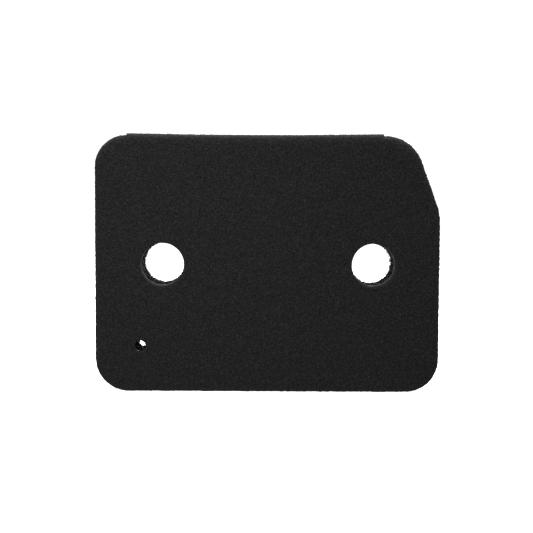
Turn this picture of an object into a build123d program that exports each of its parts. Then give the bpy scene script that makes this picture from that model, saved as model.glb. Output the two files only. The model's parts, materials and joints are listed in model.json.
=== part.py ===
"""Flat air filter pad, die-cut from two foams bonded face to face.

Millimetres. X runs along the pad's width, Z up its height and Y through its thickness.
The fine foam is at the front, towards -Y. The pad stands on its bottom edge at Z = 0.
"""

from build123d import *

import os
from math import radians, tan

os.makedirs("parts", exist_ok=True)

# outline
WIDTH = 207.0
HEIGHT = 154.0  # to the top of the rounded corners
CORNER_R = 19.5  # both bottom corners
TOP_LEFT_R = 18.5
SLANT_FROM = 108.0  # the height at which the right side turns inwards
SLANT_ANGLE = 20.0  # degrees from the upright
SHOULDER_R = 40.0  # the soft bend into the slant
SLANT_TOP_R = 23.0

# the top edge is slit, not die-cut, and stands proud between the corners
SLIT_LEFT = -84.6
SLIT_RIGHT = 69.5
SLIT_END_RISE = 1.1
SLIT_MIDDLE_RISE = 0.3
SLIT_END_R = 0.5
SLIT_OVERLAP = 2.0  # how far the proud strip's profile reaches down into the pad's

# the two bonded foams
FINE_T = 5.0
COARSE_T = 10.0

# holes right through both foams
HOLE_R = 13.1
LEFT_HOLE_X = -63.4
RIGHT_HOLE_X = 64.1
HOLE_Z = 76.8
LOCATING_R = 3.3
LOCATING_X = -76.8
LOCATING_Z = 27.2

half = WIDTH / 2
slant_run = (HEIGHT - SLANT_FROM) * tan(radians(SLANT_ANGLE))
bottom_left, bottom_right = (-half, 0), (half, 0)
shoulder, slant_top = (half, SLANT_FROM), (half - slant_run, HEIGHT)
top_left = (-half, HEIGHT)


def corner(sketch, at):
    """The outline's corner nearest to a point."""
    return sketch.vertices().sort_by_distance((*at, 0))[0]


with BuildSketch() as section:
    with BuildLine():
        Polyline(bottom_left, bottom_right, shoulder, slant_top, top_left, close=True)
    make_face()
    fillet([corner(section, at) for at in (bottom_left, bottom_right)], CORNER_R)
    fillet(corner(section, top_left), TOP_LEFT_R)
    fillet(corner(section, shoulder), SHOULDER_R)
    fillet(corner(section, slant_top), SLANT_TOP_R)
    with BuildLine():
        left_end = (SLIT_LEFT, HEIGHT + SLIT_END_RISE)
        right_end = (SLIT_RIGHT, HEIGHT + SLIT_END_RISE)
        middle = ((SLIT_LEFT + SLIT_RIGHT) / 2, HEIGHT + SLIT_MIDDLE_RISE)
        ThreePointArc(left_end, middle, right_end)
        strip_bottom = HEIGHT - SLIT_OVERLAP
        Polyline(right_end, (SLIT_RIGHT, strip_bottom), (SLIT_LEFT, strip_bottom), left_end)
    make_face()
    fillet([corner(section, at) for at in (left_end, right_end)], SLIT_END_R)
    with Locations((LEFT_HOLE_X, HOLE_Z), (RIGHT_HOLE_X, HOLE_Z)):
        Circle(HOLE_R, mode=Mode.SUBTRACT)
    with Locations((LOCATING_X, LOCATING_Z)):
        Circle(LOCATING_R, mode=Mode.SUBTRACT)

# Plane.XZ faces -Y, so a positive offset is towards the front
front = (FINE_T + COARSE_T) / 2
bond = front - FINE_T

with BuildPart() as fine_foam_ply:
    with BuildSketch(Plane.XZ.offset(bond)):
        add(section.sketch)
    extrude(amount=FINE_T)
fine_foam_ply.part.label = "fine_foam_ply"
export_step(fine_foam_ply.part, "parts/fine_foam_ply.step")

with BuildPart() as coarse_foam_ply:
    with BuildSketch(Plane.XZ.offset(bond)):
        add(section.sketch)
    extrude(amount=-COARSE_T)
coarse_foam_ply.part.label = "coarse_foam_ply"
export_step(coarse_foam_ply.part, "parts/coarse_foam_ply.step")
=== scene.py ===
"""Looks of the two-ply foam air filter pad: a fine-pored front ply on an open, coarse-pored back ply.

Lengths inside the modelling functions are millimetres; the frame and the mesh objects are in metres.
X runs along the width, Z up the height, Y from the fine front face to the coarse back face.
"""

import math
from itertools import combinations

import bmesh
import bpy
import numpy as np
from mathutils import Euler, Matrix, Vector, geometry, kdtree
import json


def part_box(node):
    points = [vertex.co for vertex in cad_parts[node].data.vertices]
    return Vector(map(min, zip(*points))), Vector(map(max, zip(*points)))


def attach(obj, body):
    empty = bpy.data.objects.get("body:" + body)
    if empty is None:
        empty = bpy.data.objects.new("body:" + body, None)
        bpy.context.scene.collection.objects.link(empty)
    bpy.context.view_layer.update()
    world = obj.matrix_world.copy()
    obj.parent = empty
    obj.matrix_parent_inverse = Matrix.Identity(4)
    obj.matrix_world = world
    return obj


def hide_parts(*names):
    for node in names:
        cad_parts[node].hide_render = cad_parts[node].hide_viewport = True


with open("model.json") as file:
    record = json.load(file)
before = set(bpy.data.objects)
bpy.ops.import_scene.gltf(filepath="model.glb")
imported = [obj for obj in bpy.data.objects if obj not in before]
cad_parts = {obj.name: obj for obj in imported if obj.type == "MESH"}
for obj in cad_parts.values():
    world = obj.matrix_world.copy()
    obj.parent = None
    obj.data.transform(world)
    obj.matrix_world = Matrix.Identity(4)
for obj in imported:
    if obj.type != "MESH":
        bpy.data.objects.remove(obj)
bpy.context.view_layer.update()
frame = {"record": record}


def mm(metres):
    """A length of the frame in millimetres, to the nearest thousandth."""
    return round(1000 * metres, 3)


# sizes of the CAD model, from the frame
(left, front, _), (right, bond, _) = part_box("fine_foam_ply")
WIDTH, FRONT, BOND = mm(right - left), mm(front), mm(bond)
BACK = mm(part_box("coarse_foam_ply")[1].y)
BORES = [mount for mount in frame["record"]["mounts"] if mount["kind"] == "bore"]
HOLES = [(mm(bore["pos_m"][0]), mm(bore["pos_m"][2]), bore["dims"]["r_mm"]) for bore in BORES]

# the rest of its outline, as in the CAD source
HEIGHT = 154.0  # to the top of the rounded corners
CORNER_R, TOP_LEFT_R, SHOULDER_R, SLANT_TOP_R = 19.5, 18.5, 40.0, 23.0
SLANT_FROM, SLANT_ANGLE = 108.0, math.radians(20.0)
SLIT_LEFT, SLIT_RIGHT = -84.6, 69.5
SLIT_END_RISE, SLIT_MIDDLE_RISE, SLIT_END_R = 1.1, 0.3, 0.5

# what the soft foam does to the left, right and small hole
TAPERS = (1.2, 1.1, 1.3)  # how much narrower each is at the back, where the punch dragged the foam
LEANS = ((0.2, 0.5), (-0.35, 0.2), (-0.1, 0.0))  # how far its middle drifts on the way there
SAG = 0.985  # the holes' height over their width, as the standing pad weighs them down
FLOOR = -0.8  # the pad stands on its soft rim

CELL = 2.2  # the coarse foam's cell size
SHELL = 1.6  # how deep its struts are modelled; a core coloured in painted shade stands for the foam below
WAIST = 0.35  # how far its cut edge draws in halfway through
MOST_TRIANGLES = 190_000  # in one piece of its web
ROW = 0.866  # a triangular grid's rows are this share of its step apart

rng = np.random.default_rng(7)


# ---------------------------------------------------------------- outline


def rounded(a, corner, b, radius, n=24):
    """n + 1 points on the arc that rounds a corner between the lines to a and b."""
    corner, a, b = (np.array(p, float) for p in (corner, a, b))
    u, v = (a - corner) / np.linalg.norm(a - corner), (b - corner) / np.linalg.norm(b - corner)
    half = math.acos(u @ v) / 2
    centre = corner + (u + v) / np.linalg.norm(u + v) * radius / math.sin(half)
    start, end = (
        math.atan2(*(corner + side * radius / math.tan(half) - centre)[::-1]) for side in (u, v)
    )
    turn = (end - start + math.pi) % (2 * math.pi) - math.pi
    t = start + turn * np.linspace(0, 1, n + 1)
    return centre + radius * np.stack([np.cos(t), np.sin(t)], 1)


def pad_outline():
    """The outline's corner and arc points, anticlockwise from the bottom left, seen from the front."""
    w, run = WIDTH / 2, (HEIGHT - SLANT_FROM) * math.tan(SLANT_ANGLE)
    bl, br, shoulder = (-w, 0), (w, 0), (w, SLANT_FROM)
    slant, tl = (w - run, HEIGHT), (-w, HEIGHT)
    slit_x = np.linspace(SLIT_RIGHT, SLIT_LEFT, 40)
    across = 2 * (slit_x - SLIT_LEFT) / (SLIT_RIGHT - SLIT_LEFT) - 1
    rise = SLIT_MIDDLE_RISE + (SLIT_END_RISE - SLIT_MIDDLE_RISE) * across**2
    slit = np.stack([slit_x, HEIGHT + rise], 1)
    return np.vstack([
        rounded(tl, bl, br, CORNER_R),
        rounded(bl, br, shoulder, CORNER_R),
        rounded(br, shoulder, slant, SHOULDER_R),
        rounded(shoulder, slant, tl, SLANT_TOP_R),
        [[SLIT_RIGHT, HEIGHT]],
        rounded((SLIT_RIGHT, HEIGHT), slit[0], slit[1], SLIT_END_R, n=5),
        slit[1:-1],
        rounded(slit[-2], slit[-1], (SLIT_LEFT, HEIGHT), SLIT_END_R, n=5),
        [[SLIT_LEFT, HEIGHT]],
        rounded(slant, tl, bl, TOP_LEFT_R),
    ])


def spaced(loop, step):
    """The closed loop again with points about step apart."""
    out = []
    for p, q in zip(loop, np.roll(loop, -1, 0)):
        n = max(1, round(np.linalg.norm(q - p) / step))
        out += [p + (q - p) * i / n for i in range(n)]
    out = np.array(out)
    return out[np.linalg.norm(out - np.roll(out, 1, 0), axis=1) > 0.25 * step]


def eased(loop, reach):
    """The closed loop with each point replaced by the mean of those up to reach places away."""
    return np.mean([np.roll(loop, k, 0) for k in range(-reach, reach + 1)], 0)


def hole_loop(x, z, r, step):
    """A hole's rim, clockwise, so that the foam is on the same side as for the outline."""
    n = max(20, round(2 * math.pi * r / step))
    t = -np.arange(n) * 2 * math.pi / n
    return np.stack([x + r * np.cos(t), z + SAG * r * np.sin(t)], 1)


def hole_at(k, along):
    """A hole's middle and radius, from along = 0 at the bond to 1 at the back face."""
    (x, z, r), (dx, dz) = HOLES[k], LEANS[k]
    return x + dx * along, z + dz * along, r - TAPERS[k] * along


def outward(loop):
    """Unit normals that point away from the foam."""
    t = np.roll(loop, -1, 0) - np.roll(loop, 1, 0)
    n = np.stack([t[:, 1], -t[:, 0]], 1)
    return n / np.linalg.norm(n, axis=1)[:, None]


class Edge:
    """Distances inwards from the outline and from the holes, negative outside the foam."""

    def __init__(self):
        self.loop = spaced(pad_outline(), 0.2)
        self.normal = outward(self.loop)
        self.tree = kdtree.KDTree(len(self.loop))
        for i, (x, z) in enumerate(self.loop):
            self.tree.insert((x, z, 0), i)
        self.tree.balance()

    def outer(self, p):
        """How far in from the outline points in the XZ plane are."""
        i = np.array([self.tree.find((x, z, 0))[1] for x, z in p], int)
        gap = p - self.loop[i]
        return -np.sign((gap * self.normal[i]).sum(1)) * np.linalg.norm(gap, axis=1)

    @staticmethod
    def holes(p, along=0.0):
        """How far they are from the nearest hole, with along as in hole_at."""
        gaps = []
        for x, z, r in (hole_at(k, along) for k in range(len(HOLES))):
            gaps.append(np.hypot(p[:, 0] - x, p[:, 1] - z) - r)
        return np.min(gaps, 0)


EDGE = Edge()


# ---------------------------------------------------------------- helpers


def smooth_noise(p, size, seed):
    """Value noise from -1 to 1 at points p, smooth over about size, from a hashed lattice."""
    q = p / size + 17.3 * (seed + 1)
    i = np.floor(q).astype(np.int64)
    f = q - i
    f = f * f * (3 - 2 * f)
    total = np.zeros(len(p))
    for corner in np.ndindex(*(2,) * p.shape[1]):
        key = np.full(len(p), 1013904223 + seed * 7919, np.int64)
        weight = np.ones(len(p))
        for axis, c in enumerate(corner):
            key = (key ^ (i[:, axis] + c)) * 2654435761 % 4294967291
            weight *= f[:, axis] if c else 1 - f[:, axis]
        total += weight * ((key >> 7) % 65536 / 32767.5 - 1)
    return total


class Skin:
    """Collects points in millimetres and faces, and makes a mesh object of them. Each point also has
    a painted rim highlight from 0 to 1."""

    def __init__(self):
        self.points, self.wear, self.tris, self.quads, self.count = [], [], [], [], 0

    def add(self, xz, y, wear=0.0):
        """Adds points and returns the first one's index."""
        xz = np.asarray(xz, float)
        self.points.append(np.column_stack([xz[:, 0], np.broadcast_to(y, len(xz)), xz[:, 1]]))
        self.wear.append(np.broadcast_to(wear, len(xz)))
        self.count += len(xz)
        return self.count - len(xz)

    def band(self, a, b, n):
        """Quads between two rings of n points that start at a and b, b the deeper one."""
        i, j = np.arange(n), (np.arange(n) + 1) % n
        self.quads.append(np.column_stack([a + i, b + i, b + j, a + j]))

    def lid(self, rings, inner, y, front, wear=0.0):
        """Closes the face inside the first ring and outside the others through inner points. A ring is
        its points and the index of the first."""
        points, edges, index, counts = [], [], [], []
        for loop, start in rings:
            first, n = len(points), len(loop)
            points += loop.tolist()
            edges += [(first + i, first + (i + 1) % n) for i in range(n)]
            index += range(start, start + n)
            counts.append(n)
        points += inner.tolist()
        start = self.add(inner, y, wear)
        index = np.array([*index, *range(start, start + len(inner))])
        made = geometry.delaunay_2d_cdt([Vector(p) for p in points], edges, [], 1, 1e-6)
        tris = np.array([f for f in made[2] if len(f) == 3])
        # what covers a hole has all three corners on its ring, against the ring's order
        ring = np.repeat([*range(len(rings)), -1], [*counts, len(inner)])[tris]
        size = np.array([*counts, 1])[ring[:, 0]]
        against = (tris[:, 1] - tris[:, 0]) % size > (tris[:, 2] - tris[:, 0]) % size
        tris = tris[~((ring[:, 0] > 0) & (ring == ring[:, :1]).all(1) & against)]
        self.tris.append(index[tris if front else tris[:, ::-1]])

    def build(self, name, material):
        """The mesh object, with the painted rim highlight as an attribute for its material."""
        obj = make_object(name, np.vstack(self.points), [*self.tris, *self.quads], material)
        wear = obj.data.attributes.new("wear", "FLOAT", "POINT")
        wear.data.foreach_set("value", np.concatenate(self.wear).astype(np.float32))
        return obj


def make_object(name, points, faces, material):
    """A smooth mesh object from points in millimetres and arrays of faces."""
    corners = np.concatenate([f.ravel() for f in faces]).astype(np.int32)
    counts = np.concatenate([np.full(len(f), f.shape[1]) for f in faces])
    mesh = bpy.data.meshes.new(name)
    mesh.vertices.add(len(points))
    mesh.vertices.foreach_set("co", (points / 1000).astype(np.float32).ravel())
    mesh.loops.add(len(corners))
    mesh.loops.foreach_set("vertex_index", corners)
    mesh.polygons.add(len(counts))
    mesh.polygons.foreach_set("loop_start", (np.cumsum(counts) - counts).astype(np.int32))
    mesh.polygons.foreach_set("use_smooth", np.ones(len(counts), bool))
    mesh.materials.append(material)
    mesh.update(calc_edges=True)
    obj = bpy.data.objects.new(name, mesh)
    bpy.context.scene.collection.objects.link(obj)
    return obj


def foam_piece(obj, node):
    """The piece belongs to the pad and stands for a CAD node."""
    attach(obj, "root")
    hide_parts(node)


def scattered(step, inset):
    """Points of a slightly uneven triangular grid over the pad, at least inset from its edges."""
    nx, nz = int(WIDTH / step) + 3, int((HEIGHT + 3) / (step * ROW)) + 3
    ix, iz = np.meshgrid(np.arange(nx), np.arange(nz))
    x = (ix + 0.5 * (iz % 2)) * step - WIDTH / 2 - step
    p = np.stack([x.ravel(), (iz * step * ROW - step).ravel()], 1)
    p += rng.uniform(-0.28, 0.28, p.shape) * step
    return p[(EDGE.outer(p) > inset) & (EDGE.holes(p) > inset)]


# ---------------------------------------------------------------- fine ply


# rim of the outline and of each hole: radius of the roll, outward bulge, reach of the slope towards
# it, and the waist of the wall behind it
RIMS = ((1.0, 0.55, 1.4, 0.2), (0.45, 0.05, 0.5, 0.0), (0.45, 0.05, 0.5, 0.0), (0.12, 0.0, 0.1, 0.8))
ROLL_FROM = math.radians(28.0)  # where the slope passes into the roll
ROLL_ANGLES = (38, 50, 64, 78, 90)  # the roll's further rows of points
WALL_ROWS = ((0.25, 0.3), (0.5, 0.65), (0.75, 0.9), (1.0, 1.0))  # share of the depth, and of the waist
HOLE_LIFT = 0.12  # how far a large hole's wall drifts upwards through the ply


def rim_slope(k, inwards):
    """How far the face has sunk towards rim k, the given distance inwards from it."""
    r, _, reach, _ = RIMS[k]
    start = r * (1 - math.sin(ROLL_FROM))
    return reach * math.tan(ROLL_FROM) * np.exp((start - inwards) / reach)


def rim_rows(k):
    """The rows of points round rim k and down its wall, each as how far in from the bulge it stands, how
    deep it lies and how far it is lifted."""
    r, _, _, waist = RIMS[k]
    depth, lift = BOND - FRONT, HOLE_LIFT if 0 < k < 3 else 0.0
    first = r * (1 - math.sin(ROLL_FROM))
    sunk = rim_slope(k, first)
    rows = [(first, sunk, 0.0)]
    for angle in np.radians(ROLL_ANGLES):
        y = sunk + r * (math.cos(ROLL_FROM) - math.cos(angle))
        rows.append((r * (1 - math.sin(angle)), y, 0.0))
    for share, bent in WALL_ROWS:
        rows.append((waist * bent, y + share * (depth - y), lift * share))
    return rows


def fine_ply(material):
    """The front ply: a finely uneven face, a softly rolled rim and a cut wall with a slight waist."""
    outer_step, hole_step, face_step, back_step = 0.4, 0.62, 0.78, 6.0
    loops = [eased(spaced(pad_outline(), outer_step), 1)]
    loops += [hole_loop(*hole, hole_step) for hole in HOLES]
    skin = Skin()
    fronts, backs = [], []
    for k, (loop, (r, bulge, _, _)) in enumerate(zip(loops, RIMS)):
        normal, n = eased(outward(loop), 4), len(loop)
        # the outline is nicked all round, and more so along its right side
        ragged = 0.0 if k else 0.28 + 0.3 * np.clip((loop[:, 0] - 60) / 35, 0, 1)
        nicks = ragged * smooth_noise(loop, 0.5, 5)
        rows = rim_rows(k)
        sunk, previous = rows[0][1], None
        for inwards, y, lift in rows:
            spots = np.column_stack([loop, np.full(n, y)])
            rough = nicks + 0.09 * smooth_noise(spots, 1.1, 3) + 0.05 * smooth_noise(spots, 4.0, 4)
            ring = loop + normal * (bulge - inwards + rough * min(1, (y - sunk) / r))[:, None]
            ring[:, 1] += lift
            # painted highlight: full strength on the outline's roll and wall, none on the holes' rims
            start = skin.add(ring, FRONT + y, 0.0 if k else 1.0)
            if previous is None:
                fronts.append((ring, start))
            else:
                skin.band(previous, start, n)
            previous = start
        backs.append((ring, previous))
    inner = scattered(face_step, inset=0.95)
    # painted highlight on the face, fading inwards from the outline over about 1.5 mm
    wear = np.exp(-EDGE.outer(inner) / 1.5)
    skin.lid(fronts, inner, FRONT + face_relief(inner), front=True, wear=wear)
    skin.lid(backs, scattered(back_step, inset=3.0), BOND, front=False)
    foam_piece(skin.build("fine_ply", material), "fine_foam_ply")


def face_relief(at):
    """How far points of the front face sink, in mm: pore-sized dimples over a very slight wave, and
    the slopes down to the rims."""
    gaps = [EDGE.outer(at)] + [np.hypot(at[:, 0] - x, at[:, 1] - z) - r for x, z, r in HOLES]
    dimples = 0.05 * smooth_noise(at, 1.15, 11) + 0.05 * rng.standard_normal(len(at))
    wave = 0.06 * smooth_noise(at, 24.0, 12)
    sink = 0.12 + np.clip(dimples, -0.16, 0.2) + wave
    sink *= np.clip((np.min(gaps, 0) - 0.5) / 1.6, 0, 1)  # calm at the rims
    for k, gap in enumerate(gaps):
        sink += rim_slope(k, gap + RIMS[k][1])
    return sink


# ---------------------------------------------------------------- coarse ply


def depths(p):
    """How deep points lie below the coarse ply's cut edge, its holes' walls and its back face, in mm."""
    along = np.clip((p[:, 1] - BOND) / (BACK - BOND), 0, 1)
    flat = p[:, [0, 2]]
    edge = EDGE.outer(flat) - WAIST * np.sin(np.pi * along)
    return edge, EDGE.holes(flat, along), BACK - p[:, 1]


def cell_sites():
    """Sites of the cells near the skin: a body-centred lattice, turned and shaken out of step."""
    a, reach = 1.0155 * CELL, 150.0  # the lattice's own spacing, and how far it goes each way
    turn = np.array(Euler((0.35, 0.62, 0.21)).to_matrix())
    low = np.array([-WIDTH / 2 - 3.5, BOND - 3, -4.0])
    high = np.array([WIDTH / 2 + 3.5, BACK + 3, HEIGHT + 6])
    axis = np.arange(-reach, reach, a)
    grid = []
    for shift in (0.0, 0.5):
        for x in axis:
            y, z = np.meshgrid(axis, axis)
            p = (np.column_stack([np.full(y.size, x), y.ravel(), z.ravel()]) + shift * a) @ turn.T
            p[:, 2] += HEIGHT / 2
            grid.append(p[((p > low) & (p < high)).all(1)])
    p = np.vstack(grid)
    p += 0.35 * a * np.stack([smooth_noise(p[:, [0, 2]], 5.0, 20 + k) for k in range(3)], 1)
    p += rng.uniform(-0.27, 0.27, p.shape) * a
    edge, wall, back = depths(p)
    margin = 1.05 * CELL
    inside = np.min([edge, wall, back], 0) > -margin
    near = np.min([edge, wall, back], 0) < SHELL + margin
    return p[inside & near & (p[:, 1] > BOND - margin)]


def foam_struts(sites):
    """Struts of the foam whose cells grow from these sites, the edges of their Voronoi cells, as two
    arrays of ends. A Voronoi vertex is equally far from four sites with none nearer, so each is
    looked for among a site's neighbours; two vertices with three sites in common share a strut."""
    tree = kdtree.KDTree(len(sites))
    for i, p in enumerate(sites):
        tree.insert(p, i)
    tree.balance()
    hood = np.array([[j for _, j, _ in tree.find_n(p, 18)][1:] for p in sites], np.int64)
    triples = np.array(list(combinations(range(hood.shape[1]), 3)))
    quads, corners = [], []
    for start in range(0, len(sites), 400):
        own = np.arange(start, min(start + 400, len(sites)))
        h = hood[own]
        rel = sites[h] - sites[own][:, None]
        sq = (rel**2).sum(2)
        s, t = np.nonzero((h > own[:, None])[:, triples].all(2))
        i, j, k = triples[t].T
        a, b, c = rel[s, i], rel[s, j], rel[s, k]
        bc, ca, ab = np.cross(b, c), np.cross(c, a), np.cross(a, b)
        det = 2 * (a * bc).sum(1)
        det[np.abs(det) < 1e-9] = 1e-9
        centre = (sq[s, i, None] * bc + sq[s, j, None] * ca + sq[s, k, None] * ab) / det[:, None]
        close = (centre**2).sum(1) < (1.1 * CELL) ** 2
        s, i, j, k, centre = s[close], i[close], j[close], k[close], centre[close]
        empty = (sq[s] - 2 * np.einsum("nij,nj->ni", rel[s], centre) > -1e-7).all(1)
        s, i, j, k = s[empty], i[empty], j[empty], k[empty]
        quads.append(np.sort(np.column_stack([own[s], h[s, i], h[s, j], h[s, k]]), 1))
        corners.append(centre[empty] + sites[own[s]])
    quads, corners = np.vstack(quads), np.vstack(corners)
    n = len(sites)
    triple = [np.delete(quads, drop, 1) for drop in range(4)]
    key = np.concatenate([(t[:, 0] * n + t[:, 1]) * n + t[:, 2] for t in triple])
    owner = np.tile(np.arange(len(quads)), 4)
    order = np.argsort(key, kind="stable")
    key, owner = key[order], owner[order]
    same = np.nonzero(key[1:] == key[:-1])[0]
    return corners[owner[same]], corners[owner[same + 1]]


def skin_struts():
    """The struts as deep as SHELL from every face that shows, cut off there, as two arrays of ends and
    one of radii."""
    a, b = foam_struts(cell_sites())

    def depth(p):
        return np.min([*depths(p), p[:, 1] - BOND + 0.3], 0)

    da, db = depth(a), depth(b)
    swap = da > db
    a[swap], b[swap], da[swap], db[swap] = b[swap], a[swap], db[swap], da[swap]
    edge, wall, back = depths((a + b) / 2)
    keep = (db > 0) & (np.min([edge, wall, back], 0) < SHELL)
    a, b, da, db, wall = a[keep], b[keep], da[keep], db[keep], wall[keep]
    # the blade cut some of them: their outer end stops at the skin, give or take a ragged bit
    ragged = rng.uniform(-0.15, 0.12, len(a))
    share = np.where(da < ragged, (ragged - da) / np.maximum(db - da, 1e-6), 0)
    a = a + (b - a) * np.clip(share, 0, 1)[:, None]
    length = np.linalg.norm(b - a, axis=1)
    keep = length > 0.2
    a, b, wall = a[keep], b[keep], wall[keep]
    # thicker round the holes, whose walls are seen edge on and look almost closed
    return a, b, rng.uniform(0.12, 0.16, len(a)) * np.where(wall < SHELL, 1.3, 1.0)


def coarse_web(tones):
    """The open web of the coarse foam: each strut is a three-sided prism, in one of the tones."""
    a, b, radius = skin_struts()
    along = (b - a) / np.linalg.norm(b - a, axis=1)[:, None]
    side = np.cross(along, rng.standard_normal(along.shape))
    side /= np.linalg.norm(side, axis=1)[:, None]
    other = np.cross(along, side)
    order = np.argsort((a + b)[:, 0])
    slices = math.ceil(len(a) * 8 / MOST_TRIANGLES)  # three quads and two caps to a strut
    for number, own in enumerate(np.array_split(order, slices), 1):
        n = len(own)
        points = np.empty((n, 6, 3))
        for k in range(3):
            t = 2 * math.pi * k / 3
            spoke = (math.cos(t) * side[own] + math.sin(t) * other[own]) * radius[own, None]
            points[:, k], points[:, 3 + k] = a[own] + spoke, b[own] + spoke
        first = np.arange(n)[:, None] * 6
        quads = np.vstack([first + [k, (k + 1) % 3, 3 + (k + 1) % 3, 3 + k] for k in range(3)])
        caps = np.vstack([first + [2, 1, 0], first + [3, 4, 5]])
        obj = make_object(f"coarse_ply_web_{number}", points.reshape(-1, 3), [quads, caps], tones[0])
        for tone in tones[1:]:
            obj.data.materials.append(tone)
        # the five faces of a strut are in five blocks that each run strut by strut
        obj.data.polygons.foreach_set("material_index", np.tile(own % len(tones), 5).astype(np.int32))
        foam_piece(obj, "coarse_foam_ply")


def coarse_core(material):
    """The bulk of the coarse foam, a rough body set in from its skin, coloured dark as painted shade."""
    step, inset, hole_inset, brim = 1.0, 1.2, 0.65, 0.8
    outer = eased(spaced(pad_outline(), step), 3)
    counts = [max(16, round(2 * math.pi * r / step)) for _, _, r in HOLES]
    levels = np.linspace(BOND + 0.02, BACK - brim, 10)
    skin, fronts, previous = Skin(), [], []
    for y in levels:
        along = (y - BOND) / (BACK - BOND)
        loops = [outer - outward(outer) * (inset + WAIST * math.sin(math.pi * along))]
        for k, count in enumerate(counts):
            x, z, r = hole_at(k, along)
            loops.append(hole_loop(x, z, r + hole_inset, 2 * math.pi * (r + hole_inset) / count))
        rings = []
        for loop in loops:
            rough = 0.35 * smooth_noise(np.column_stack([loop, np.full(len(loop), y)]), 1.7, 31)
            ring = loop - outward(loop) * rough[:, None]
            rings.append((ring, skin.add(ring, y)))
        for (_, above), (ring, below) in zip(previous, rings):
            skin.band(above, below, len(ring))
        fronts = fronts or rings
        previous = rings

    def rough_back(at):
        near = np.minimum(EDGE.outer(at) - inset, EDGE.holes(at, 1.0) - hole_inset)
        calm = np.clip(near / 1.6, 0, 1)
        return levels[-1] - (SHELL - brim + 0.8 * np.abs(smooth_noise(at, 1.9, 32))) * calm

    skin.lid(fronts, scattered(8.0, inset + 2), levels[0], front=True)
    inner = scattered(1.2, inset + 0.8)
    skin.lid(previous, inner, rough_back(inner), front=False)
    foam_piece(skin.build("coarse_ply_core", material), "coarse_foam_ply")


# ---------------------------------------------------------------- materials


def principled(name, colour, roughness, specular=0.5, sheen=0.0, sheen_roughness=0.4):
    """A material and its shader."""
    material = bpy.data.materials.new(name)
    material.use_nodes = True
    shader = material.node_tree.nodes["Principled BSDF"]
    for socket, value in (
        ("Base Color", (*colour, 1)),
        ("Roughness", roughness),
        ("Specular IOR Level", specular),
        ("Sheen Weight", sheen),
        ("Sheen Roughness", sheen_roughness),
    ):
        shader.inputs[socket].default_value = value
    return material, shader


def fine_foam():
    """Near-black foam with pores too fine to see singly, a soft sheen at grazing angles and a painted
    highlight that makes the colour a little lighter at the outline's rim."""
    material, shader = principled("fine foam", (0.008, 0.008, 0.008), 0.9, 0.03, 0.21, 0.3)
    nodes, links = material.node_tree.nodes, material.node_tree.links
    where = nodes.new("ShaderNodeTexCoord")
    pores = nodes.new("ShaderNodeTexVoronoi")
    pores.inputs["Scale"].default_value = 1500
    grain = nodes.new("ShaderNodeTexNoise")
    grain.inputs["Scale"].default_value = 1100
    grain.inputs["Detail"].default_value = 2
    mix = nodes.new("ShaderNodeMix")
    mix.inputs["Factor"].default_value = 0.55
    # painted rim highlight: the attribute lifts the colour near the outline
    highlight_node = nodes.new("ShaderNodeAttribute")
    highlight_node.attribute_name = "wear"
    lighter = nodes.new("ShaderNodeMath")
    lighter.operation = "MULTIPLY_ADD"
    lighter.inputs[1].default_value = 0.09
    ramp = nodes.new("ShaderNodeValToRGB")
    dark, light = ramp.color_ramp.elements
    dark.position, dark.color = 0.28, (0.0047, 0.0047, 0.0047, 1)
    light.position, light.color = 0.72, (0.0335, 0.0335, 0.0335, 1)
    bump = nodes.new("ShaderNodeBump")
    bump.inputs["Strength"].default_value = 0.4
    bump.inputs["Distance"].default_value = 0.0002
    for a, b in (
        (where.outputs["Object"], pores.inputs["Vector"]),
        (where.outputs["Object"], grain.inputs["Vector"]),
        (pores.outputs["Distance"], mix.inputs[2]),
        (grain.outputs["Fac"], mix.inputs[3]),
        (highlight_node.outputs["Fac"], lighter.inputs[0]),
        (mix.outputs[0], lighter.inputs[2]),
        (lighter.outputs[0], ramp.inputs["Fac"]),
        (ramp.outputs["Color"], shader.inputs["Base Color"]),
        (pores.outputs["Distance"], bump.inputs["Height"]),
        (bump.outputs["Normal"], shader.inputs["Normal"]),
    ):
        links.new(a, b)
    return material


def painted_shade_foam():
    """Near darkness painted as the shade of the foam below the modelled struts, a little less dark at
    the rims of deeper cells.
    """
    material, shader = principled("coarse foam painted shade", (0.006, 0.006, 0.006), 0.9, 0.03)
    nodes, links = material.node_tree.nodes, material.node_tree.links
    where = nodes.new("ShaderNodeTexCoord")
    cells = nodes.new("ShaderNodeTexVoronoi")
    cells.inputs["Scale"].default_value = 1000 / CELL
    ramp = nodes.new("ShaderNodeValToRGB")
    # painted shade: each cell's middle darkest, its rims a little lighter
    middle, rim = ramp.color_ramp.elements
    middle.position, middle.color = 0.25, (0.002, 0.002, 0.002, 1)
    rim.position, rim.color = 0.8, (0.014, 0.014, 0.014, 1)
    for a, b in (
        (where.outputs["Object"], cells.inputs["Vector"]),
        (cells.outputs["Distance"], ramp.inputs["Fac"]),
        (ramp.outputs["Color"], shader.inputs["Base Color"]),
    ):
        links.new(a, b)
    return material


def coarse_foam():
    """Near-black materials for the struts, which differ a little in colour and gloss."""
    looks = (("dull", 0.03, 0.55), ("plain", 0.045, 0.42), ("glossy", 0.064, 0.32))
    return [
        principled(f"coarse foam {name}", (grey, grey, 1.01 * grey), roughness, 0.35)[0]
        for name, grey, roughness in looks
    ]


# ---------------------------------------------------------------- studio


def softbox(name, place, target, size, watts):
    """An oval area light that faces its target and isn't itself seen."""
    light = bpy.data.lights.new(name, "AREA")
    light.shape, light.size, light.size_y, light.energy = "ELLIPSE", *size, watts
    obj = bpy.data.objects.new(name, light)
    obj.location = place
    obj.rotation_euler = (Vector(target) - Vector(place)).to_track_quat("-Z", "Y").to_euler()
    obj.visible_camera = False
    bpy.context.scene.collection.objects.link(obj)


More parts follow.
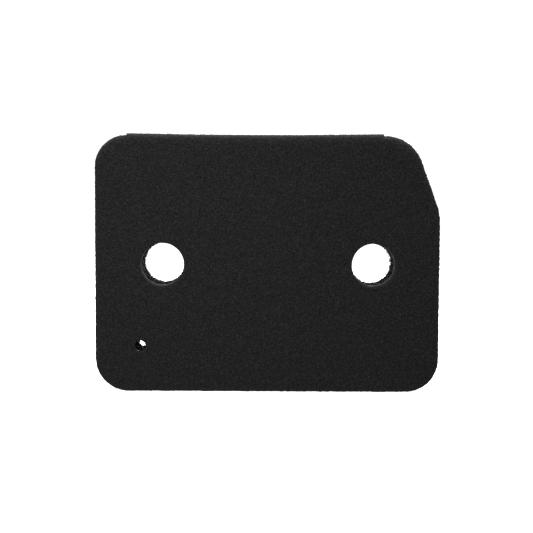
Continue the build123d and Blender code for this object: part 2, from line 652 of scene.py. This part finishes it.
def white(name):
    """A pale matt material that shows as plain white whatever light falls on it."""
    material, shader = principled(name, (0.8, 0.8, 0.8), 0.9, 0.1)
    shader.inputs["Emission Color"].default_value = (1, 1, 1, 1)
    shader.inputs["Emission Strength"].default_value = 1.0
    return material


def studio():
    """A pale floor in a white dome, which light nothing themselves, and softboxes at the front left,
    above and behind in a softly lit room."""
    scene = bpy.context.scene
    scene.view_settings.view_transform = "Standard"
    world = bpy.data.worlds.new("studio")
    world.use_nodes = True
    world.node_tree.nodes["Background"].inputs["Color"].default_value = (1, 1, 1, 1)
    world.node_tree.nodes["Background"].inputs["Strength"].default_value = 0.375
    scene.world = world

    far = 3000.0
    corners = np.array([(-far, -far, FLOOR), (far, -far, FLOOR), (far, far, FLOOR), (-far, far, FLOOR)])
    floor = make_object("floor", corners, [np.array([[0, 1, 2, 3]])], white("pale floor"))
    dome = bmesh.new()
    bmesh.ops.create_icosphere(dome, subdivisions=4, radius=6)
    mesh = bpy.data.meshes.new("dome")
    dome.to_mesh(mesh)
    mesh.materials.append(white("white dome"))
    dome = bpy.data.objects.new("dome", mesh)
    scene.collection.objects.link(dome)
    for obj in (floor, dome):
        obj.visible_diffuse = obj.visible_glossy = obj.visible_shadow = False

    softbox("key", (-0.105, -0.33, 0.155), (-0.045, 0, 0.095), size=(0.12, 0.12), watts=0.545)
    softbox("top", (0, -0.005, 0.66), (0, 0, 0.1), size=(0.36, 0.1), watts=11)
    softbox("backdrop", (0.3, 0.6, 0.3), (0, 0, 0.08), size=(2.0, 1.4), watts=13)


def camera():
    """The camera, a little above the pad's middle and looking slightly down on it."""
    data = bpy.data.cameras.new("camera")
    data.sensor_width, data.lens, data.shift_y = 36, 47.28, -0.0794
    data.clip_start, data.clip_end = 0.01, 20
    obj = bpy.data.objects.new("camera", data)
    obj.location = (0.0002, -0.4277, 0.1175)
    tilt, yaw, roll = math.radians(2.21), math.radians(0.105), math.radians(0.25)
    aim = Euler((math.pi / 2 - tilt, 0, yaw)).to_matrix() @ Euler((0, 0, roll)).to_matrix()
    obj.rotation_euler = aim.to_euler()
    bpy.context.scene.collection.objects.link(obj)
    bpy.context.scene.camera = obj


# ---------------------------------------------------------------- the pad in its studio


fine_ply(fine_foam())
coarse_core(painted_shade_foam())
coarse_web(coarse_foam())

studio()
camera()
